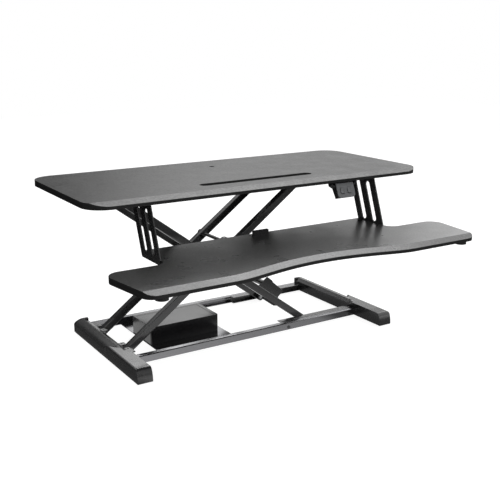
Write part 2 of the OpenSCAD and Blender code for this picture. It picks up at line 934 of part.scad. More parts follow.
// one straight stretch of the front bevel's cutter, from x0 to x1
function cutter_section(x) = [
    [x, front_edge(x) - 1, tray_top - tray_bevel_drop * (1 + 1 / tray_bevel_w)],
    [x, front_edge(x) + tray_bevel_w, tray_top],
    [x, front_edge(x) + tray_bevel_w, tray_top + 1],
    [x, front_edge(x) - 1, tray_top + 1]
];
cutter_x = concat([-tray_half - 1], [for (x = [-hollow_x:15.5:hollow_x]) x], [tray_half + 1]);

module bevel_cutter() {
    last = len(cutter_x) - 1;
    polyhedron(
        points = [for (x = cutter_x) each cutter_section(x)],
        faces = concat(
            [[0, 1, 2, 3]],
            [for (i = [0:last - 1], k = [0:3])
                [4 * i + k, 4 * (i + 1) + k, 4 * (i + 1) + (k + 1) % 4, 4 * i + (k + 1) % 4]],
            [[4 * last + 3, 4 * last + 2, 4 * last + 1, 4 * last]]
        )
    );
}

module keyboard_tray() {
    color(board_colour) difference() {
        translate([0, 0, tray_under]) linear_extrude(board_t)
            polygon(concat(tray_right, mirrored(tray_right)));
        bevel_cutter();
        for (side = [0, 1]) mirror([side, 0, 0]) {
            // recess for the side bracket's bottom flange
            block([tray_mid - low_flange_in, tray_mid + eps], low_flange_y,
                  [tray_under - 1, bracket_bottom + flange_t]);
            for (y = tray_screw_y) {
                tray_screw_shank(y);
                // counterbore for the screw's cap
                translate([tray_screw_x, y, tray_top - tray_cap_t])
                    cylinder(r = tray_cap_r + cap_gap, h = tray_cap_t + 1);
            }
        }
        // slot for the keyboard stop
        block(stop_x, stop_y, [tray_under - 1, tray_top + 1]);
    }
}

module tray_screws() {
    color(plastic_colour)
        for (side = [0, 1], y = tray_screw_y) mirror([side, 0, 0]) {
            tray_screw_shank(y);
            translate([tray_screw_x, y, tray_top - tray_cap_t]) cylinder(r = tray_cap_r, h = tray_cap_t);
        }
}

module tray_bumpers() {
    color(rubber_colour)
        for (side = [-1, 1])
            translate([side * bumper_at[0], bumper_at[1], tray_under - bumper_h])
                cylinder(r = bumper_r, h = bumper_h);
}

module keyboard_stop() {
    color(plastic_colour) prism_y(stop_y[0], stop_y[1])
        translate([(stop_x[0] + stop_x[1]) / 2, (tray_under + tray_top + stop_h) / 2])
            rounded_rect(stop_x[1] - stop_x[0], board_t + stop_h, stop_r);
}

// ---------- height switch ----------

module button_outline(side, grow) {
    translate([side * button_dx, button_z])
        rounded_rect(button_w + 2 * grow, button_h + 2 * grow, button_r + grow);
}

module panel_outline() {
    translate([-panel_half, -panel_h + panel_r]) square([2 * panel_half, panel_h - panel_r]);
    translate([-panel_half + panel_r, -panel_h]) square([2 * (panel_half - panel_r), panel_h]);
    for (side = [-1, 1]) translate([side * (panel_half - panel_r), -panel_h + panel_r]) circle(panel_r);
}

module switch_panel() {
    color(grey_colour) on_switch() prism_y(0, panel_t) difference() {
        panel_outline();
        for (side = [-1, 1]) button_outline(side, button_gap);
    }
}

module housing_outline(inset) {
    polygon([
        [-housing_half[0] + inset, housing_z[0]],
        [-housing_half[0] + inset, housing_z[1]],
        [-housing_half[1] + inset, housing_z[2] + inset],
        [-housing_half[2] + inset, housing_z[3] + inset],
        [housing_half[2] - inset, housing_z[3] + inset],
        [housing_half[1] - inset, housing_z[2] + inset],
        [housing_half[0] - inset, housing_z[1]],
        [housing_half[0] - inset, housing_z[0]]
    ]);
}

module switch_housing() {
    color(plastic_colour) difference() {
        intersection() {
            on_switch() prism_y(panel_t, housing_depth) housing_outline(0);
            block([0, desk_w / 2], housing_y, [desk_under - driver_h, desk_under]);
        }
        difference() {
            on_switch() prism_y(panel_t - 1, housing_depth - housing_wall) housing_outline(housing_wall);
            block([0, desk_w / 2], housing_y, [desk_under - flange_t, desk_under + 20]);
        }
        screw_shanks(switch_screws);
        for (at = switch_screws)
            translate([at[0], at[1], desk_under - driver_h])
                cylinder(r = screw_head_r + 0.5, h = driver_h - flange_t);
    }
}

module push_button(side) {
    color(plastic_colour) on_switch() {
        prism_y(-button_out, panel_t + 1) button_outline(side, 0);
        prism_y(panel_t + 1, panel_t + 2.5) button_outline(side, 1.5);
    }
}

module up_button() push_button(-1);
module down_button() push_button(1);

stand() left_foot();
stand() right_foot();
stand() left_end_cap();
stand() right_end_cap();
stand() foot_pads();
stand() front_rail();
stand() rear_rail();
stand() front_track();
stand() rear_track();
stand() rail_screws();
stand() front_hinge_bracket();
stand() rear_hinge_bracket();
stand() hinge_pins();
stand() base_plate();
stand() control_box();
stand() control_board();
stand() power_inlet();
stand() front_arm_a();
stand() rear_arm_a();
stand() arm_a_bushes();
stand() centre_pins();
stand() centre_spacers();
stand() tie_shaft();
stand() shaft_collar();
stand() front_arm_b();
stand() rear_arm_b();
stand() arm_b_bushes();
stand() front_gusset();
stand() rear_gusset();
stand() cross_tube();
stand() roller_axles();
stand() cable_clip();
stand() front_lower_roller();
stand() rear_lower_roller();
stand() slide_bar();
stand() slide_axle();
stand() actuator_rod();
stand() front_upper_roller();
stand() rear_upper_roller();
stand() desktop();
stand() front_upper_bracket();
stand() rear_upper_bracket();
stand() upper_pins();
stand() front_upper_track();
stand() rear_upper_track();
stand() desk_screws();
stand() actuator_motor();
stand() actuator_gearbox();
stand() actuator_tube();
stand() actuator_mount();
stand() left_tray_bracket();
stand() right_tray_bracket();
stand() keyboard_tray();
stand() tray_screws();
stand() tray_bumpers();
stand() keyboard_stop();
stand() switch_housing();
stand() switch_panel();
stand() up_button();
stand() down_button();
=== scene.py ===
import json
import math

import bmesh
import bpy
from mathutils import Matrix, Vector


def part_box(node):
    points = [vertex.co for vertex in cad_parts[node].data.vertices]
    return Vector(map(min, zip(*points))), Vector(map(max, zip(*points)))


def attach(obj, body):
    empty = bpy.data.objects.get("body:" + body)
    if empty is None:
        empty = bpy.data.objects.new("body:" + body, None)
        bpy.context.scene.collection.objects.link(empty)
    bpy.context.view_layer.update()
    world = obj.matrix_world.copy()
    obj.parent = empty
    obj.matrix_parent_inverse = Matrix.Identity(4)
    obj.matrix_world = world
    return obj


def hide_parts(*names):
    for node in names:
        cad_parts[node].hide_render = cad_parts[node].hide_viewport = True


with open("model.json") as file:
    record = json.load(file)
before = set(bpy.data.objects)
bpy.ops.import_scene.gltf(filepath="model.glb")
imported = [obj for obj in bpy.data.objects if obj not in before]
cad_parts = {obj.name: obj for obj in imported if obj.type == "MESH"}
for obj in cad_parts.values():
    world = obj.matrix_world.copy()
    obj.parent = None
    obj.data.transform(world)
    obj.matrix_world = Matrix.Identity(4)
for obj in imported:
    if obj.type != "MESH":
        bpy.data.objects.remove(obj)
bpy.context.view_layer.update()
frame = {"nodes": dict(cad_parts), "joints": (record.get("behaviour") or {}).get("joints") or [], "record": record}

# Shapes are drawn in millimetres, in the stand's own frame: Y = 0 is the middle of the feet.
MM = 0.001
FEET_Y = (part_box("left_foot")[0].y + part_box("left_end_cap")[1].y) / 2
STAND = Matrix.Translation((0, FEET_Y, 0)) @ Matrix.Diagonal((MM, MM, MM, 1))


def node_box(node):
    """A CAD node's lowest and highest corners in the stand's frame, in millimetres."""
    back = STAND.inverted()
    low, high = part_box(node)
    return back @ low, back @ high


def joint_place(name):
    """Where a joint's axis is, in the stand's frame, in millimetres."""
    joint = next(j for j in frame["joints"] if j["name"] == name)
    return STAND.inverted() @ Vector(joint["pos_m"])


# ---------- camera, light and floor ----------

CAMERA_PLACE = (-1.0802, -1.6841, 0.7820)
CAMERA_YAW = 32.24
CAMERA_PITCH = 15.01
CAMERA_LENS = 58.47


def add_camera():
    data = bpy.data.cameras.new("camera")
    data.lens = CAMERA_LENS
    data.sensor_width = 36
    camera = bpy.data.objects.new("camera", data)
    camera.location = CAMERA_PLACE
    camera.rotation_euler = (math.radians(90 - CAMERA_PITCH), 0, math.radians(-CAMERA_YAW))
    bpy.context.scene.collection.objects.link(camera)
    bpy.context.scene.camera = camera


def add_softbox(name, place, target, size, power):
    data = bpy.data.lights.new(name, "AREA")
    data.shape = "RECTANGLE"
    data.size, data.size_y = size
    data.energy = power
    light = bpy.data.objects.new(name, data)
    light.location = place
    light.rotation_euler = (Vector(target) - Vector(place)).to_track_quat("-Z", "Y").to_euler()
    bpy.context.scene.collection.objects.link(light)


def map_range(tree, value, source, target):
    """Maps a value from the range source to the range target."""
    node = tree.nodes.new("ShaderNodeMapRange")
    node.inputs["From Min"].default_value = source[0]
    node.inputs["From Max"].default_value = source[1]
    node.inputs["To Min"].default_value = target[0]
    node.inputs["To Max"].default_value = target[1]
    tree.links.new(value, node.inputs["Value"])
    return node.outputs["Result"]


def grey_ramp(tree, value, stops):
    """Turns a value into a grey, along stops of (position, grey)."""
    node = tree.nodes.new("ShaderNodeValToRGB")
    elements = node.color_ramp.elements
    while len(elements) < len(stops):
        elements.new(0.5)
    for element, (position, grey) in zip(elements, stops):
        element.position = position
        element.color = (grey, grey, grey, 1)
    tree.links.new(value, node.inputs["Fac"])
    return node.outputs["Color"]


def add_values(tree, first, second):
    node = tree.nodes.new("ShaderNodeMath")
    node.operation = "ADD"
    tree.links.new(first, node.inputs[0])
    tree.links.new(second, node.inputs[1])
    return node.outputs["Value"]


def mix_shaders(tree, factor, first, second):
    """The first shader where the factor is 0, and the second where it is 1."""
    node = tree.nodes.new("ShaderNodeMixShader")
    tree.links.new(factor, node.inputs["Fac"])
    tree.links.new(first, node.inputs[1])
    tree.links.new(second, node.inputs[2])
    return node.outputs[0]


# the sky's grey by height, from straight down at 0 to straight up at 1
SKY_TONES = ((0.0, 0.02), (0.50, 0.10), (0.53, 0.60), (0.585, 0.92), (0.61, 1.4), (0.63, 1.4), (0.66, 0.55),
             (0.70, 0.55), (0.76, 0.9), (1.0, 1.0))
LAMP_DIRECTION = (0.408, 0.806, 0.430)


def add_world():
    """White behind the object, and for everything else a sky that is dark at and below the horizon."""
    world = bpy.data.worlds.new("studio")
    bpy.context.scene.world = world
    world.use_nodes = True
    tree = world.node_tree
    tree.nodes.clear()
    place = tree.nodes.new("ShaderNodeTexCoord")
    split = tree.nodes.new("ShaderNodeSeparateXYZ")
    tree.links.new(place.outputs["Generated"], split.inputs[0])
    height = map_range(tree, split.outputs["Z"], (-1, 1), (0, 1))
    sky = grey_ramp(tree, height, SKY_TONES)
    # dimmer to the left than to the right
    side = map_range(tree, split.outputs["X"], (0.32, 0.58), (0.08, 0.88))
    # a brighter wall at the far right, that the tray's right wing reflects
    wall = map_range(tree, split.outputs["X"], (0.67, 0.73), (0.0, 1.0))
    # and a round lamp, low at the back right, that the foot and the box reflect
    facing = tree.nodes.new("ShaderNodeVectorMath")
    facing.operation = "DOT_PRODUCT"
    facing.inputs[1].default_value = LAMP_DIRECTION
    tree.links.new(place.outputs["Generated"], facing.inputs[0])
    lamp = map_range(tree, facing.outputs["Value"], (0.986, 0.997), (0.0, 2.5))
    studio = tree.nodes.new("ShaderNodeBackground")
    tree.links.new(sky, studio.inputs["Color"])
    tree.links.new(add_values(tree, add_values(tree, side, wall), lamp), studio.inputs["Strength"])
    white = tree.nodes.new("ShaderNodeBackground")
    white.inputs["Color"].default_value = (1, 1, 1, 1)
    path = tree.nodes.new("ShaderNodeLightPath")
    output = tree.nodes.new("ShaderNodeOutputWorld")
    seen = mix_shaders(tree, path.outputs["Is Camera Ray"], studio.outputs[0], white.outputs[0])
    tree.links.new(seen, output.inputs["Surface"])


FLOOR_HALF = 6.0
# what glossy surfaces see of the floor, from 1 m left of the object's middle at 0 to 1 m right at 1
FLOOR_TONES = ((0.0, 0.04), (0.306, 0.07), (0.335, 0.78), (0.62, 0.5), (0.65, 0.15), (1.0, 0.1))


def add_floor():
    """Near white to the camera, grey to diffuse rays, and in reflections light only under the object."""
    half = FLOOR_HALF
    corners = [(-half, -half, 0), (half, -half, 0), (half, half, 0), (-half, half, 0)]
    mesh = bpy.data.meshes.new("floor")
    mesh.from_pydata(corners, [], [(0, 1, 2, 3)])
    floor = bpy.data.objects.new("floor", mesh)
    bpy.context.scene.collection.objects.link(floor)
    material = bpy.data.materials.new("floor")
    material.use_nodes = True
    tree = material.node_tree
    tree.nodes.clear()
    pale = tree.nodes.new("ShaderNodeBsdfDiffuse")
    pale.inputs["Color"].default_value = (0.32, 0.32, 0.32, 1)
    glow = tree.nodes.new("ShaderNodeEmission")
    glow.inputs["Strength"].default_value = 0.92
    both = tree.nodes.new("ShaderNodeAddShader")
    tree.links.new(pale.outputs[0], both.inputs[0])
    tree.links.new(glow.outputs[0], both.inputs[1])
    dark = tree.nodes.new("ShaderNodeBsdfDiffuse")
    dark.inputs["Color"].default_value = (0.45, 0.45, 0.45, 1)
    mirrored = tree.nodes.new("ShaderNodeEmission")
    place = tree.nodes.new("ShaderNodeTexCoord")
    split = tree.nodes.new("ShaderNodeSeparateXYZ")
    tree.links.new(place.outputs["Object"], split.inputs[0])
    across = map_range(tree, split.outputs["X"], (-1, 1), (0, 1))
    tree.links.new(grey_ramp(tree, across, FLOOR_TONES), mirrored.inputs["Color"])
    # it fades out behind the object
    behind = map_range(tree, split.outputs["Y"], (0.5, 1.0), (1.0, 0.12))
    tree.links.new(behind, mirrored.inputs["Strength"])
    path = tree.nodes.new("ShaderNodeLightPath")
    output = tree.nodes.new("ShaderNodeOutputMaterial")
    unseen = mix_shaders(tree, path.outputs["Is Glossy Ray"], dark.outputs[0], mirrored.outputs[0])
    seen = mix_shaders(tree, path.outputs["Is Camera Ray"], unseen, both.outputs[0])
    tree.links.new(seen, output.inputs["Surface"])
    mesh.materials.append(material)


# ---------- materials ----------

# how far a surface's roughness strays to either side
GLOSS_SPREAD = 0.04


def surface(name, colour, roughness, speckle=0.0, grain_mm=1.0, bump=0.0, metallic=0.0, streak=1.0,
            coat=0.0, coat_roughness=0.16, shine=0.5):
    """A procedural surface: fine speckle, uneven gloss and a grain about bump millimetres high."""
    material = bpy.data.materials.new(name)
    material.use_nodes = True
    tree = material.node_tree
    nodes, links = tree.nodes, tree.links
    shader = nodes["Principled BSDF"]
    shader.inputs["Metallic"].default_value = metallic
    shader.inputs["Specular IOR Level"].default_value = shine
    shader.inputs["Coat Weight"].default_value = coat
    shader.inputs["Coat Roughness"].default_value = coat_roughness
    place = nodes.new("ShaderNodeTexCoord")
    stretch = nodes.new("ShaderNodeMapping")
    stretch.inputs["Scale"].default_value = (1, 1 / streak, 1)
    links.new(place.outputs["Object"], stretch.inputs["Vector"])
    grain = nodes.new("ShaderNodeTexNoise")
    grain.inputs["Scale"].default_value = 1 / (grain_mm * MM) / 2
    grain.inputs["Detail"].default_value = 3
    links.new(stretch.outputs[0], grain.inputs["Vector"])
    cloud = nodes.new("ShaderNodeTexNoise")
    cloud.inputs["Scale"].default_value = 14
    cloud.inputs["Detail"].default_value = 4
    links.new(place.outputs["Object"], cloud.inputs["Vector"])

    tint = nodes.new("ShaderNodeValToRGB")
    tint.color_ramp.elements[0].position = 0.36
    tint.color_ramp.elements[1].position = 0.68
    dark = [c * (1 - speckle) for c in colour]
    light = [min(1, c * (1 + speckle)) for c in colour]
    tint.color_ramp.elements[0].color = (*dark, 1)
    tint.color_ramp.elements[1].color = (*light, 1)
    links.new(grain.outputs["Fac"], tint.inputs["Fac"])
    links.new(tint.outputs["Color"], shader.inputs["Base Color"])

    uneven = (roughness - GLOSS_SPREAD, roughness + GLOSS_SPREAD)
    gloss = map_range(tree, cloud.outputs["Fac"], (0.3, 0.7), uneven)
    links.new(gloss, shader.inputs["Roughness"])

    if bump:
        relief = nodes.new("ShaderNodeBump")
        relief.inputs["Strength"].default_value = 0.5
        relief.inputs["Distance"].default_value = bump * MM
        links.new(grain.outputs["Fac"], relief.inputs["Height"])
        links.new(relief.outputs["Normal"], shader.inputs["Normal"])
    return material


MATERIALS = {
    "board": surface("board", (0.028, 0.028, 0.028), 0.34, speckle=0.98, grain_mm=3.2, bump=0.7),
    "tray_board": surface("tray_board", (0.034, 0.034, 0.034), 0.30, speckle=0.7, grain_mm=2.4, bump=0.06,
                          coat=0.45, coat_roughness=0.36),
    # darker than the board: partly the real edge banding, partly painted shade for a board's sides, underside and
    # hollows
    "edge_band_painted_shade": surface("edge_band_painted_shade", (0.018, 0.018, 0.018), 0.5, speckle=0.3, grain_mm=0.8, bump=0.02,
                         shine=0.25),
    "steel": surface("steel", (0.028, 0.028, 0.029), 0.26, speckle=0.25, grain_mm=0.8, bump=0.02, coat=0.9,
                     shine=0.7),
    "plastic": surface("plastic", (0.016, 0.016, 0.017), 0.24, speckle=0.2, grain_mm=0.7, bump=0.015),
    "box_plastic": surface("box_plastic", (0.014, 0.014, 0.015), 0.22, speckle=0.2, grain_mm=0.7, bump=0.015,
                           coat=0.3),
    "bright_steel": surface("bright_steel", (0.30, 0.30, 0.31), 0.18, speckle=0.12, grain_mm=0.6,
                            metallic=1.0, bump=0.01),
    "rubber": surface("rubber", (0.016, 0.016, 0.016), 0.72, speckle=0.3, grain_mm=1.2, bump=0.06),
    "bare_steel": surface("bare_steel", (0.46, 0.46, 0.47), 0.30, speckle=0.12, grain_mm=0.5, metallic=1.0,
                          bump=0.01, streak=6),
    "motor_steel": surface("motor_steel", (0.03, 0.03, 0.03), 0.32, speckle=0.2, grain_mm=0.8, bump=0.02),
    "tube_metal": surface("tube_metal", (0.58, 0.59, 0.60), 0.28, speckle=0.08, grain_mm=0.5, metallic=1.0,
                          bump=0.01, streak=10),
    "grey_plastic": surface("grey_plastic", (0.15, 0.155, 0.16), 0.42, speckle=0.12, grain_mm=0.6, bump=0.02),
    "bush_plastic": surface("bush_plastic", (0.09, 0.09, 0.09), 0.35, speckle=0.1, grain_mm=0.8, bump=0.01),
    "circuit_board": surface("circuit_board", (0.03, 0.15, 0.06), 0.30, speckle=0.3, grain_mm=2.5, bump=0.05),
}


# ---------- mesh tools ----------

def make_object(name, points, faces):
    mesh = bpy.data.meshes.new(name)
    mesh.from_pydata([tuple(p) for p in points], [], faces)
    shape = bmesh.new()
    shape.from_mesh(mesh)
    bmesh.ops.recalc_face_normals(shape, faces=shape.faces)
    shape.to_mesh(mesh)
    shape.free()
    piece = bpy.data.objects.new(name, mesh)
    bpy.context.scene.collection.objects.link(piece)
    return piece


def to_axes(axis, u, v, depth):
    """A point of an outline and its depth, as x, y, z: outlines are x-y, x-z or y-z."""
    if axis == "z":
        return (u, v, depth)
    if axis == "y":
        return (u, depth, v)
    return (depth, u, v)


def prism(name, outline, axis, low, high):
    count = len(outline)
    points = [to_axes(axis, u, v, d) for d in (low, high) for u, v in outline]
    faces = [tuple(range(count)), tuple(range(2 * count - 1, count - 1, -1))]
    faces += [(i, (i + 1) % count, count + (i + 1) % count, count + i) for i in range(count)]
    return make_object(name, points, faces)


def block(name, x, y, z):
    return prism(name, [(x[0], y[0]), (x[1], y[0]), (x[1], y[1]), (x[0], y[1])], "z", *z)


def disc(name, axis, centre, radius, low, high, steps=40):
    turns = [2 * math.pi * i / steps for i in range(steps)]
    outline = [(centre[0] + radius * math.cos(a), centre[1] + radius * math.sin(a)) for a in turns]
    return prism(name, outline, axis, low, high)


ARC_STEP = math.radians(8)


def rounded(corners, step=ARC_STEP):
    """An outline from corners (u, v, radius), each rounded with an arc of its radius."""
    outline = []
    for i, (u, v, radius) in enumerate(corners):
        here = Vector((u, v))
        before = (Vector(corners[i - 1][:2]) - here).normalized()
        after = (Vector(corners[(i + 1) % len(corners)][:2]) - here).normalized()
        half = math.acos(max(-1, min(1, before.dot(after)))) / 2
        if radius <= 0 or half > math.pi / 2 - 0.01:
            outline.append((u, v))
            continue
        middle = here + (before + after).normalized() * radius / math.sin(half)
        start = here + before * radius / math.tan(half) - middle
        end = here + after * radius / math.tan(half) - middle
        turn = math.atan2(start.x * end.y - start.y * end.x, start.dot(end))
        count = max(2, math.ceil(abs(turn) / step))
        for k in range(count + 1):
            a = turn * k / count
            outline.append((middle.x + start.x * math.cos(a) - start.y * math.sin(a),
                            middle.y + start.x * math.sin(a) + start.y * math.cos(a)))
    return outline


def rectangle(u, v, radius, step=ARC_STEP):
    corners = [(u[0], v[0]), (u[1], v[0]), (u[1], v[1]), (u[0], v[1])]
    return rounded([(*corner, radius) for corner in corners], step)


def stadium(a, b, radius, steps=12):
    """A bar with round ends from a to b."""
    a, b = Vector(a), Vector(b)
    tilt = math.atan2(b.y - a.y, b.x - a.x)
    outline = []
    for centre, start in ((b, tilt - math.pi / 2), (a, tilt + math.pi / 2)):
        turns = [start + math.pi * k / steps for k in range(steps + 1)]
        outline += [(centre.x + radius * math.cos(t), centre.y + radius * math.sin(t)) for t in turns]
    return outline


def ring_faces(rings, count):
    """The faces that join a number of rings of count points each, one ring to the next."""
    faces = []
    for r in range(rings - 1):
        a, b = r * count, (r + 1) * count
        faces += [(a + i, a + (i + 1) % count, b + (i + 1) % count, b + i) for i in range(count)]
    return faces


def bake(piece):
    """Applies the piece's modifiers to its mesh."""
    bpy.context.view_layer.update()
    graph = bpy.context.evaluated_depsgraph_get()
    mesh = bpy.data.meshes.new_from_object(piece.evaluated_get(graph))
    piece.modifiers.clear()
    piece.data = mesh


def combine(piece, operation, others):
    for other in others:
        modifier = piece.modifiers.new(operation.lower(), "BOOLEAN")
        modifier.operation = operation
        modifier.solver = "EXACT"
        modifier.object = other
        bake(piece)
        bpy.data.objects.remove(other)


def cut(piece, *cutters):
    combine(piece, "DIFFERENCE", cutters)


def add(piece, *others):
    combine(piece, "UNION", others)


def smooth(piece, angle=24):
    mesh = piece.data
    mesh.polygons.foreach_set("use_smooth", [True] * len(mesh.polygons))
    mesh.set_sharp_from_angle(angle=math.radians(angle))


def soften(piece, width, angle=30, segments=2):
    """Rounds the piece's edges by a width in millimetres."""
    modifier = piece.modifiers.new("edges", "BEVEL")
    modifier.width = width * MM
    modifier.segments = segments
    modifier.limit_method = "ANGLE"
    modifier.angle_limit = math.radians(angle)
    modifier.harden_normals = True
    modifier.use_clamp_overlap = True


def settle(piece, body, slot, *nodes, place=STAND, edge=0.0, angle=30, crease=24):
    """Brings a piece drawn in millimetres to its place, gives it its finish and body, and hides the CAD nodes it
    takes the place of.
    """
    mesh = piece.data
    mesh.transform(place)
    if place.determinant() < 0:
        mesh.flip_normals()
    smooth(piece, crease)
    mesh.materials.clear()
    mesh.materials.append(MATERIALS[slot])
    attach(piece, body)
    if nodes:
        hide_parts(*nodes)
    if edge:
        soften(piece, edge, angle)


MIRROR_X = Matrix.Diagonal((-1, 1, 1, 1))


def mirrored_place(mirror):
    """The stand's frame, or its mirror image for a left copy."""
    return STAND @ MIRROR_X if mirror else STAND


# ---------- measures read from the frame ----------

DESK_LOW, DESK_HIGH = node_box("desktop")
TRAY_LOW, TRAY_HIGH = node_box("keyboard_tray")
LIFT = joint_place("lift")
CENTRE = joint_place("scissor_centre")
SCISSOR_Y = LIFT.y
THETA = math.atan2(CENTRE.z - LIFT.z, CENTRE.x - LIFT.x)
ARM_L = 2 * (CENTRE - LIFT).length
ARM_H = 19.3
ARM_D = 17.3


def at_side(side):
    """From a shape drawn for the scissor's front to its front (-1) or rear (1) copy."""
    return STAND @ Matrix.Translation((0, SCISSOR_Y, 0)) @ Matrix.Diagonal((1, -side, 1, 1))


def on_arm(side, angle):
    """From a frame along an arm, with the middle pivot at its origin."""
    return at_side(side) @ Matrix.Translation((CENTRE.x, 0, CENTRE.z)) @ Matrix.Rotation(-angle, 4, "Y")


# ---------- boards ----------

# a face this far below a board's top gets the edge banding's darker colour, painted shade in the hollow
SUNK_DEPTH = 8


def edge_band_painted_shade(board):
    """Gives a board's upright sides, underside and sunk faces a colour darker than its top: partly the real edge
    banding, partly painted shade on faces turned from the light and in the sunk groove.
    """
    board.data.materials.append(MATERIALS["edge_band_painted_shade"])
    sunk = max(vertex.co.z for vertex in board.data.vertices) - SUNK_DEPTH * MM
    # faces turned from the light and the sunk groove's floor get the darker colour: painted shade
    for face in board.data.polygons:
        if face.normal.z < 0.5 or face.center.z < sunk:
            face.material_index = 1


DESK_CORNER = 55
# a bevel's width and its drop
DESK_BEVEL = (24, 7.4)
TRAY_BEVEL = (20.5, 7)
GROOVE_HALF = 149.5
GROOVE_Y = -115
GROOVE_R = 13.5
GROOVE_DEPTH = 10
CABLE_HOLE_Y = 115
CABLE_HOLE_R = 7.25
HOLLOW_HALF = 248
HOLLOW_DEPTH = 38.5
HOLLOW_STEPS = 32
WING_BACK = -251
TRAY_MIDDLE = 322
TRAY_SIDE_IN = 24
TRAY_SIDE_OUT = 1.6
TRAY_FRONT_R = 28
TRAY_REAR_R = 34
TRAY_FILLET = 29
TRAY_SCREW_X = 305
TRAY_SCREW_Y = (-214, -150)
COUNTERBORE_R = 6.1
COUNTERBORE_DEPTH = 1.2


def make_desktop():
    low, high = DESK_LOW, DESK_HIGH
    outline = rectangle((low.x, high.x), (low.y, high.y), DESK_CORNER, ARC_STEP / 2)
    board = prism("desktop_board", outline, "z", low.z, high.z)
    width, drop = DESK_BEVEL
    slope = drop / width
    section = [(low.y - 1, high.z - drop - slope), (low.y + width, high.z), (low.y + width, high.z + 1),
               (low.y - 1, high.z + 1)]
    wedge = prism("wedge", section, "x", low.x - 5, high.x + 5)
    groove_outline = stadium((-GROOVE_HALF, GROOVE_Y), (GROOVE_HALF, GROOVE_Y), GROOVE_R)
    groove = prism("groove", groove_outline, "z", high.z - GROOVE_DEPTH, high.z + 2)
    hole = disc("hole", "z", (0, CABLE_HOLE_Y), CABLE_HOLE_R, low.z - 2, high.z + 2)
    cut(board, wedge, groove, hole)
    settle(board, "desktop", "board", "desktop", edge=0.35, crease=12)
    edge_band_painted_shade(board)


def front_edge(x):
    """The tray's front edge: flats at the sides and a smooth hollow between them."""
    t = (x / HOLLOW_HALF) ** 2
    if t >= 1:
        return TRAY_LOW.y
    return TRAY_LOW.y + HOLLOW_DEPTH * (1 - t) ** 2 * (1 + 0.55 * t)


def make_tray():
    low, high = TRAY_LOW, TRAY_HIGH
    step = HOLLOW_HALF / HOLLOW_STEPS
    front = [(k * step, front_edge(k * step)) for k in range(-HOLLOW_STEPS, HOLLOW_STEPS + 1)]
    sides = rounded([
        (high.x - TRAY_SIDE_IN, low.y, TRAY_FRONT_R), (high.x + TRAY_SIDE_OUT, WING_BACK, TRAY_REAR_R),
        (TRAY_MIDDLE, WING_BACK, TRAY_FILLET), (TRAY_MIDDLE, high.y, 0),
        (-TRAY_MIDDLE, high.y, 0), (-TRAY_MIDDLE, WING_BACK, TRAY_FILLET),
        (low.x - TRAY_SIDE_OUT, WING_BACK, TRAY_REAR_R), (low.x + TRAY_SIDE_IN, low.y, TRAY_FRONT_R)
    ], math.radians(5))
    board = prism("tray_board", front + sides, "z", low.z, high.z)
    width, drop = TRAY_BEVEL
    slope = drop / width
    stations = [low.x - 5] + [x for x, _ in front] + [high.x + 5]
    points = []
    for x in stations:
        y = front_edge(x)
        points += [(x, y - 1, high.z - drop - slope), (x, y + width, high.z), (x, y + width, high.z + 1),
                   (x, y - 1, high.z + 1)]
    last = 4 * (len(stations) - 1)
    faces = [(0, 1, 2, 3), (last + 3, last + 2, last + 1, last)]
    faces += [(4 * i + k, 4 * i + 4 + k, 4 * i + 4 + (k + 1) % 4, 4 * i + (k + 1) % 4)
              for i in range(len(stations) - 1) for k in range(4)]
    stop_low, stop_high = node_box("keyboard_stop")
    slot = block("slot", (stop_low.x, stop_high.x), (stop_low.y, stop_high.y), (low.z - 2, high.z + 2))
    sunk = high.z - COUNTERBORE_DEPTH
    counterbores = [disc("counterbore", "z", (side * TRAY_SCREW_X, y), COUNTERBORE_R, sunk, high.z + 1)
                    for side in (-1, 1) for y in TRAY_SCREW_Y]
    cut(board, make_object("wedge", points, faces), slot, *counterbores)
    settle(board, "desktop", "board", "keyboard_tray", edge=0.35, crease=12)
    board.data.materials[0] = MATERIALS["tray_board"]
    edge_band_painted_shade(board)


# ---------- feet and base ----------

FOOT_IN, FOOT_OUT = 343, 382
FOOT_TOP = 36
FOOT_BOTTOM = 1.5
FOOT_WALL = 3
FOOT_ROUND = 5
# the chamfer along a foot's inner edge
CHAMFER_W = 13
CHAMFER_DROP = 7
DOME_IN = FOOT_IN + CHAMFER_W
DOME_Z = 22.5
DOME_POWER = 1.7
# power of the sine that places a foot's long lines, closer together towards its outer edge
DOME_SPREAD = 0.9
NOSE = 13
# the ramp from a foot's flat front part to its dome, which crosses the foot at a slant
RAMP = 7
RAMP_FRONT = -82
RAMP_SLANT = 67
RAMP_STATIONS = [-86 + 2.5 * k for k in range(34)]
# the least thickness of a foot's nose
NOSE_EDGE = 0.4
# width of the flat along an end cap's inner edge
CAP_FLAT = 7


def dome_height(x):
    """The top of a foot's rear part: a chamfer inside, then a dome that falls to the outer side."""
    if x < DOME_IN:
        return FOOT_TOP - CHAMFER_DROP + CHAMFER_DROP * (x - FOOT_IN) / CHAMFER_W
    t = (x - DOME_IN) / (FOOT_OUT - DOME_IN)
    return DOME_Z + (FOOT_TOP - DOME_Z) * (1 - min(1, t) ** DOME_POWER) ** (1 / DOME_POWER)


def flat_height(x):
    """The top of a foot's front part: flat, with a rounded outer edge."""
    over = max(0, x - (FOOT_OUT - FOOT_ROUND))
    return FOOT_TOP - FOOT_ROUND + math.sqrt(max(0, FOOT_ROUND ** 2 - over ** 2))


def foot_height(x, y, front):
    ramp_start = RAMP_FRONT + RAMP_SLANT * (x - FOOT_IN) / (FOOT_OUT - FOOT_IN)
    t = min(1, max(0, (y - ramp_start) / RAMP))
    t = t * t * (3 - 2 * t)
    height = flat_height(x) * (1 - t) + dome_height(x) * t
    if y < front + NOSE:
        rise = math.sqrt(max(0, 1 - ((front + NOSE - y) / NOSE) ** 2))
        height = min(height, FOOT_BOTTOM + (FOOT_TOP - FOOT_BOTTOM) * rise)
    return height


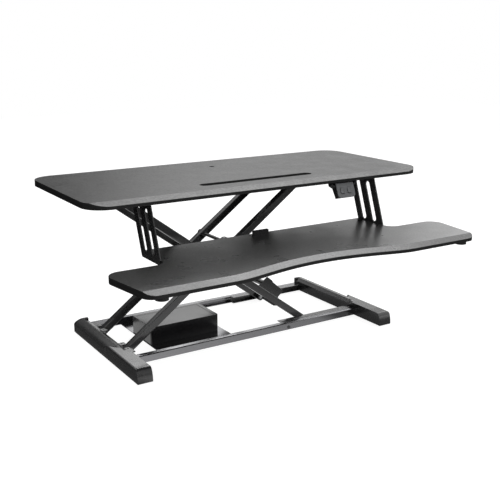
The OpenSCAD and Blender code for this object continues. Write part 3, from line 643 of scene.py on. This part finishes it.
def make_foot(name, node, mirror):
    low, high = node_box(node)
    across = [FOOT_IN, FOOT_IN + CHAMFER_W / 2]
    across += [DOME_IN + (FOOT_OUT - DOME_IN) * math.sin(math.radians(a)) ** DOME_SPREAD
               for a in range(0, 91, 6)]
    along = [low.y + NOSE * (1 - math.cos(math.radians(a))) for a in range(0, 91, 9)]
    along += [-150, -120, -100, -90] + RAMP_STATIONS + [20, 80, 140, high.y]
    least = FOOT_BOTTOM + NOSE_EDGE
    top = [(x, y, max(least, foot_height(x, y, low.y))) for y in along for x in across]
    under = [(x, y, FOOT_BOTTOM) for y in along for x in across]
    n, m = len(across), len(along)
    base = n * m
    faces = []
    for j in range(m - 1):
        for i in range(n - 1):
            a = j * n + i
            faces.append((a, a + 1, a + n + 1, a + n))
            faces.append((base + a, base + a + n, base + a + n + 1, base + a + 1))
        a = j * n
        faces.append((a, a + n, base + a + n, base + a))
        a = j * n + n - 1
        faces.append((a, base + a, base + a + n, a + n))
    for i in range(n - 1):
        faces.append((i, base + i, base + i + 1, i + 1))
        a = (m - 1) * n + i
        faces.append((a, a + 1, base + a + 1, base + a))
    foot = make_object(name, top + under, faces)
    inner, outer = FOOT_IN + FOOT_WALL, FOOT_OUT - FOOT_WALL
    section = [(inner, -1), (outer, -1), (outer, 20), (FOOT_OUT - 11, 27.5), (FOOT_IN + 14, 32), (inner, 26)]
    cut(foot, prism("cavity", section, "y", low.y + NOSE + FOOT_WALL, high.y - FOOT_WALL))
    settle(foot, "base", "steel", node, place=mirrored_place(mirror), edge=0.6, angle=40, crease=22)


def make_end_cap(name, node, mirror):
    low, high = node_box(node)
    samples = [FOOT_OUT - (FOOT_OUT - DOME_IN) * (1 - math.cos(math.radians(a))) for a in range(0, 91, 9)]
    outline = [(FOOT_IN, FOOT_BOTTOM), (FOOT_OUT, FOOT_BOTTOM)]
    outline += [(x, dome_height(x)) for x in samples]
    outline += [(FOOT_IN + CAP_FLAT, FOOT_TOP), (FOOT_IN, FOOT_TOP)]
    cap = prism(name, outline, "y", low.y, high.y)
    settle(cap, "base", "plastic", node, place=mirrored_place(mirror), edge=0.8)


# the rails' and tracks' faces, from the scissor's middle plane
RAIL_OUT = 148.5
RAIL_IN = 133
TRACK_IN = 116
RAIL_T = 1.5
RAIL_BEND = 3
TRACK_T = 2
TRACK_BEND = 3.2
RAIL_SCREW_X = (116, 326)
RAIL_SCREW_Z = 9
RAIL_SCREW_R = 2


def channel_outline(back, front, low, high, thick, bend):
    """A C-shaped section in the y-z plane: its web is at back and it opens to the front."""
    s = 1 if front > back else -1
    inner = max(0.2, bend - thick)
    web = back + s * thick
    return rounded([
        (front, low, 0), (back, low, bend), (back, high, bend), (front, high, 0), (front, high - thick, 0),
        (web, high - thick, inner), (web, low + thick, inner), (front, low + thick, 0)
    ])


def rail_screw_holes(back, thick):
    """Cutters for the rail screws' holes, through a web of that thickness whose outer face is at back."""
    low, high = back - thick, back + thick + 2
    return [disc("hole", "y", (x, RAIL_SCREW_Z), RAIL_SCREW_R, low, high, 20) for x in RAIL_SCREW_X]


def make_rail(name, node, side):
    low, high = node_box(node)
    outline = channel_outline(-RAIL_OUT, -RAIL_IN, low.z, high.z, RAIL_T, RAIL_BEND)
    rail = prism(name, outline, "x", low.x, high.x)
    cut(rail, *rail_screw_holes(-RAIL_OUT, RAIL_T))
    settle(rail, "base", "steel", node, place=at_side(side), edge=0.25)
    rail.data.materials[0] = MATERIALS["bright_steel"]


def make_track(name, node, side):
    low, high = node_box(node)
    outline = channel_outline(-RAIL_IN, -TRACK_IN, low.z, high.z, TRACK_T, TRACK_BEND)
    track = prism(name, outline, "x", low.x, high.x)
    cut(track, *rail_screw_holes(-RAIL_IN, TRACK_T))
    settle(track, "base", "steel", node, place=at_side(side), edge=0.3)


BOX_ROUND = 3
BOX_WALL = 1.6
INLET_ROUND = 3
# the grooves on the box's top: their distance from the edges, width, depth and distance from the far ends
JOINT_IN = 11
JOINT_W = 1
JOINT_DEPTH = 0.8
JOINT_END = 6


def make_control_box():
    """The case, hollow inside, with thin grooves near the back and right edges of its top."""
    low, high = node_box("control_box")
    wall = BOX_WALL
    case_outline = rectangle((low.x, high.x), (low.y, high.y), BOX_ROUND)
    box = prism("control_box_case", case_outline, "z", low.z, high.z)
    inside_outline = rectangle((low.x + wall, high.x - wall), (low.y + wall, high.y - wall), BOX_ROUND - wall)
    inside = prism("inside", inside_outline, "z", low.z - 1, high.z - wall)
    inlet_low, inlet_high = node_box("power_inlet")
    inlet_outline = rectangle((inlet_low.x, inlet_high.x), (inlet_low.z, inlet_high.z), INLET_ROUND)
    inlet = prism("inlet", inlet_outline, "y", high.y - 4, high.y + 1)
    joint = (high.z - JOINT_DEPTH, high.z + 1)
    right, back = high.x - JOINT_IN, high.y - JOINT_IN
    joint_back = block("joint_back", (low.x + JOINT_END, right), (back - JOINT_W, back), joint)
    joint_right = block("joint_right", (right - JOINT_W, right), (low.y + JOINT_END, back - JOINT_W / 2), joint)
    cut(box, inside, inlet, joint_back, joint_right)
    settle(box, "base", "plastic", "control_box", edge=1.1, angle=50)
    box.data.materials[0] = MATERIALS["box_plastic"]


def make_base_plate():
    low, high = node_box("base_plate")
    plate = block("base_plate_sheet", (low.x, high.x), (low.y, high.y), (low.z, high.z))
    settle(plate, "base", "steel", "base_plate", edge=0.3)
    plate.data.materials[0] = MATERIALS["bright_steel"]


# ---------- scissor arms ----------

ARM_BEND = 1.9
ARM_WALL = 1.8
# the outer faces of the inner and the outer arms, from the scissor's middle plane
A_OUT = 87.5
B_OUT = 115.5
# the gussets' outer faces, behind the outer arms' outer faces
GUSSET_BACK = 3
GUSSET_T = 3
BUSH_R = 6
PIN_R = 4
SHAFT_S = 66
SHAFT_R = 4.75
# holes as (place along the arm, radius), for bushes, pins and the tie shaft
A_HOLES = [(-ARM_L / 2, BUSH_R), (0, PIN_R), (SHAFT_S, SHAFT_R), (ARM_L / 2, BUSH_R)]
B_HOLES = [(-ARM_L / 2, BUSH_R), (0, BUSH_R), (ARM_L / 2, PIN_R)]


def make_arm(name, node, side, angle, out, holes, body):
    """A pressed channel with round ends: its web faces out and its edges are bent round."""
    bend, wall = ARM_BEND, ARM_WALL
    radius = ARM_H / 2
    # rings of the section, as (inset from the outline, depth behind the web)
    rings = [(wall, wall + 0.01), (wall, ARM_D), (0, ARM_D)]
    rings += [(bend * (1 - math.cos(a)), bend * (1 - math.sin(a)))
              for a in [math.radians(15 * k) for k in range(7)]]
    half = ARM_L / 2
    points = []
    for inset, depth in rings:
        for x, z in stadium((-half, 0), (half, 0), radius - inset, 16):
            points.append((x, -out + depth, z))
    count = len(points) // len(rings)
    faces = [tuple(range(count))] + ring_faces(len(rings), count)
    last = (len(rings) - 1) * count
    faces.append(tuple(range(last + count - 1, last - 1, -1)))
    arm = make_object(name, points, faces)
    add(arm, *[disc("boss", "y", (s, 0), radius - 1.5, -out + wall / 2, -out + ARM_D) for s, _ in holes])
    cut(arm, *[disc("hole", "y", (s, 0), r, -out - 1, -out + ARM_D + 1) for s, r in holes])
    settle(arm, body, "steel", node, place=on_arm(side, angle), crease=28)


def make_gusset(name, node, side):
    """The plate that stands on an outer arm's upper flange."""
    radius = ARM_H / 2
    outline = rounded([(136, radius, 0), (138, 12, 1), (147, 41.7, 3), (168, 40.5, 1.5), (171, 38, 1.5),
                       (217, 34, 4), (212, 12, 1), (216, radius, 0)])
    face = -B_OUT + GUSSET_BACK
    plate = prism(name, outline, "y", face, face + GUSSET_T)
    settle(plate, "arm_b", "steel", node, place=on_arm(side, -THETA), edge=0.5)


# ---------- tray brackets, stop, switch ----------

# the brackets lean back by LEAN for each millimetre of height, and their Y values hold at LEAN_Z
LEAN = 0.362
LEAN_Z = 400
BRACKET_IN, BRACKET_OUT = 322, 325
BRACKET_FOLD = 2.5
SLOT_Y = (-112.2, -152)
SLOT_R = 7.7
# the slots' round ends: above the tray's top, and below LEAN_Z
SLOT_ABOVE = 11
SLOT_BELOW = 8
# how far the brackets' lower folds are let into the tray's underside
FOLD_SUNK = 2.8
TOP_FOLD_W = 20
TOP_FOLD_Y = (-176, -79)
BOTTOM_FOLD_W = 24
BOTTOM_FOLD_Y = (-209, -136)
STOP_ROUND = 3


def leaned(y, z):
    return y - LEAN * (LEAN_Z - z)


def make_tray_bracket(name, node, mirror):
    """Sheet steel with two leaning slots, folded inwards at the top and bottom."""
    top = DESK_LOW.z
    bottom = TRAY_LOW.z + FOLD_SUNK
    inner, outer = BRACKET_IN, BRACKET_OUT
    slot_low, slot_high = TRAY_HIGH.z + SLOT_ABOVE, LEAN_Z - SLOT_BELOW
    outline = rounded([(leaned(-81.5, top), top, 1), (-126, bottom, 4), (-210, bottom, 2),
                       (-222.5, bottom + 10.2, 3), (leaned(-182.5, top), top, 1)])
    sheet = prism(name, outline, "x", inner, outer)
    for y in SLOT_Y:
        ends = [(leaned(y, z), z) for z in (slot_low, slot_high)]
        cut(sheet, prism("slot", stadium(*ends, SLOT_R), "x", inner - 2, outer + 2))
    top_fold = block("top_fold", (inner - TOP_FOLD_W, inner + 1), TOP_FOLD_Y, (top - BRACKET_FOLD, top))
    bottom_fold = block("bottom_fold", (inner - BOTTOM_FOLD_W, inner + 1), BOTTOM_FOLD_Y,
                        (bottom, bottom + BRACKET_FOLD))
    add(sheet, top_fold, bottom_fold)
    settle(sheet, "desktop", "steel", node, place=mirrored_place(mirror), edge=0.5)


def make_keyboard_stop():
    low, high = node_box("keyboard_stop")
    outline = rectangle((low.x, high.x), (low.z, high.z), STOP_ROUND)
    tab = prism("keyboard_stop_tab", outline, "y", low.y, high.y)
    settle(tab, "desktop", "plastic", "keyboard_stop", edge=0.6)


SWITCH = Vector((212, -194, 412))
SWITCH_TILT = 22.4
PANEL_HALF = 27.5
PANEL_H = 38
PANEL_T = 3
PANEL_R = 9
# the buttons' middle, to either side of the switch's middle, and their edges
BUTTON_X = 11
BUTTON_HALF = 6.5
BUTTON_Z = (-27, -12)
BUTTON_R = 3.5
BUTTON_GAP = 0.4
# an arrowhead's half width, and its foot and tip to either side of the button's middle
ARROW_HALF = 2.2
ARROW_FOOT = 1.3
ARROW_TIP = 1.9
# a button's rings from back to front, as (inset from its edges, depth behind the panel's face)
BUTTON_PROFILE = ((-1.5, 5.5), (-1.5, 4), (0, 4), (0, -0.9), (0.3, -1.5), (0.9, -1.8), (2.6, -1.5),
                  (4.4, -1.3))
ON_SWITCH = STAND @ Matrix.Translation(SWITCH) @ Matrix.Rotation(math.radians(-SWITCH_TILT), 4, "X")


def make_switch():
    half, height = PANEL_HALF, PANEL_H
    outline = rounded([(-half, 0, 0), (-half, -height, PANEL_R), (half, -height, PANEL_R), (half, 0, 0)])
    panel = prism("switch_face", outline, "y", 0, PANEL_T)
    reach = BUTTON_HALF + BUTTON_GAP
    window_z = (BUTTON_Z[0] - BUTTON_GAP, BUTTON_Z[1] + BUTTON_GAP)
    for side in (-1, 1):
        x = side * BUTTON_X
        window = rectangle((x - reach, x + reach), window_z, BUTTON_R + BUTTON_GAP)
        cut(panel, prism("window", window, "y", -1, PANEL_T + 1))
    settle(panel, "desktop", "grey_plastic", "switch_panel", place=ON_SWITCH, edge=0.7)


def make_button(name, node, side):
    """A rocker key with a hollowed face, a flange behind the panel and a plain arrowhead on its face."""
    x = side * BUTTON_X
    low, high = BUTTON_Z
    rings = []
    for inset, depth in BUTTON_PROFILE:
        reach_u = (x - BUTTON_HALF + inset, x + BUTTON_HALF - inset)
        outline = rectangle(reach_u, (low + inset, high - inset), max(0.6, BUTTON_R - inset))
        rings.append([(u, depth, v) for u, v in outline])
    count = len(rings[0])
    points = [p for ring in rings for p in ring]
    faces = [tuple(range(count)), tuple(range(len(points) - 1, len(points) - count - 1, -1))]
    button = make_object(name, points, faces + ring_faces(len(rings), count))
    # the left button points up and the right one down
    middle = (low + high) / 2
    foot, tip = middle + side * ARROW_FOOT, middle - side * ARROW_TIP
    arrow = [(x - ARROW_HALF, foot), (x + ARROW_HALF, foot), (x, tip)]
    cut(button, prism("arrow", arrow, "y", -1.6, -1.0))
    settle(button, node, "grey_plastic", node, place=ON_SWITCH, crease=35)


# ---------- the CAD nodes that stay ----------

SLOT_OF = {part["node"]: part["material_slot"] for part in frame["record"]["subparts"]}


def dress_cad_nodes():
    for node, piece in frame["nodes"].items():
        piece.data.materials.clear()
        piece.data.materials.append(MATERIALS[SLOT_OF[node]])


add_camera()
add_world()
add_floor()
add_softbox("overhead", (0.0, 0.3, 2.4), (0, 0.0, 0.3), (3.0, 2.0), 38)
add_softbox("bevel_light", (1.7, 1.9, 2.7), (0, 0, 0.3), (2.4, 1.4), 26)
add_softbox("arm_light", (-0.5, 2.9, 2.2), (0, 0, 0.3), (2.2, 0.9), 4)
add_softbox("left_fill", (-2.6, -0.8, 1.5), (0, 0, 0.3), (1.2, 1.6), 10)
add_softbox("front_fill", (-0.6, -2.8, 1.2), (0, 0, 0.2), (2.0, 1.2), 17)

dress_cad_nodes()
make_desktop()
make_tray()
for side_name, mirrored in (("left", True), ("right", False)):
    make_foot(f"{side_name}_foot_shell", f"{side_name}_foot", mirrored)
    make_end_cap(f"{side_name}_end_cap_plug", f"{side_name}_end_cap", mirrored)
    make_tray_bracket(f"{side_name}_tray_bracket_sheet", f"{side_name}_tray_bracket", mirrored)
for side_name, side in (("front", -1), ("rear", 1)):
    make_rail(f"{side_name}_rail_channel", f"{side_name}_rail", side)
    make_track(f"{side_name}_track_channel", f"{side_name}_track", side)
    make_arm(f"{side_name}_inner_arm", f"{side_name}_arm_a", side, THETA, A_OUT, A_HOLES, "arm_a")
    make_arm(f"{side_name}_outer_arm", f"{side_name}_arm_b", side, -THETA, B_OUT, B_HOLES, "arm_b")
    make_gusset(f"{side_name}_gusset_plate", f"{side_name}_gusset", side)
make_control_box()
make_base_plate()
make_keyboard_stop()
make_switch()
make_button("up_key", "up_button", -1)
make_button("down_key", "down_button", 1)

bpy.context.scene.view_settings.view_transform = "Standard"
